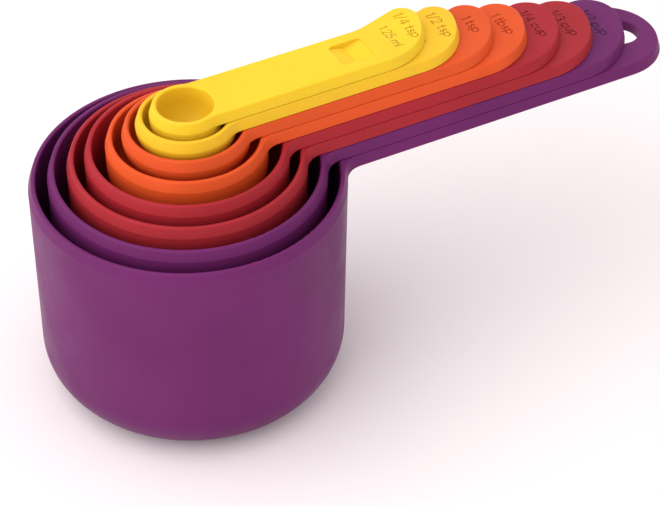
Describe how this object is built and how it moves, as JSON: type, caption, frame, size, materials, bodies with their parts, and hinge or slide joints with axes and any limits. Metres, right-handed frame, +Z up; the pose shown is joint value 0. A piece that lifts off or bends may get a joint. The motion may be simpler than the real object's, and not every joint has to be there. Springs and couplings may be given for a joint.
{
  "type": "nesting measuring cup set",
  "caption": "Set of nesting measuring cups and spoons with round bowls and flat handles, stacked one inside the other, with a hanging hole in the largest handle.",
  "frame": {"origin": "centre of the largest measure's flat base, on the axis that all the bowls share", "axes": "+Z up through the bowls, +X along the handles from the bowls to the handle ends, +Y to the side where the swept handle ends have their tips"},
  "size_m": [0.1747, 0.0784, 0.0825],
  "materials": {
    "purple_plastic": "fine satin moulded polypropylene",
    "crimson_plastic": "fine satin moulded polypropylene",
    "red_plastic": "fine satin moulded polypropylene",
    "orange_plastic": "fine satin moulded polypropylene",
    "vermilion_plastic": "fine satin moulded polypropylene",
    "golden_yellow_plastic": "fine satin moulded polypropylene",
    "lemon_yellow_plastic": "fine satin moulded polypropylene"
  },
  "bodies": {
    "measure_1_cup": {"measure_1_cup": "purple_plastic"},
    "measure_half_cup": {"measure_half_cup": "purple_plastic"},
    "measure_third_cup": {"measure_third_cup": "crimson_plastic"},
    "measure_quarter_cup": {"measure_quarter_cup": "red_plastic"},
    "measure_1_tablespoon": {"measure_1_tablespoon": "orange_plastic"},
    "measure_1_teaspoon": {"measure_1_teaspoon": "vermilion_plastic"},
    "measure_half_teaspoon": {"measure_half_teaspoon": "golden_yellow_plastic"},
    "measure_quarter_teaspoon": {"measure_quarter_teaspoon": "lemon_yellow_plastic"}
  },
  "joints": [
    {"name": "half_cup_lift", "type": "slide", "parent": "measure_1_cup", "child": "measure_half_cup", "axis": [0, 0, 1], "range_m": [0, 0.053]},
    {"name": "third_cup_lift", "type": "slide", "parent": "measure_half_cup", "child": "measure_third_cup", "axis": [0, 0, 1], "range_m": [0, 0.05]},
    {"name": "quarter_cup_lift", "type": "slide", "parent": "measure_third_cup", "child": "measure_quarter_cup", "axis": [0, 0, 1], "range_m": [0, 0.051]},
    {"name": "1_tablespoon_lift", "type": "slide", "parent": "measure_quarter_cup", "child": "measure_1_tablespoon", "axis": [0, 0, 1], "range_m": [0, 0.03]},
    {"name": "1_teaspoon_lift", "type": "slide", "parent": "measure_1_tablespoon", "child": "measure_1_teaspoon", "axis": [0, 0, 1], "range_m": [0, 0.024]},
    {"name": "half_teaspoon_lift", "type": "slide", "parent": "measure_1_teaspoon", "child": "measure_half_teaspoon", "axis": [0, 0, 1], "range_m": [0, 0.023]},
    {"name": "quarter_teaspoon_lift", "type": "slide", "parent": "measure_half_teaspoon", "child": "measure_quarter_teaspoon", "axis": [0, 0, 1], "range_m": [0, 0.024]}
  ]
}
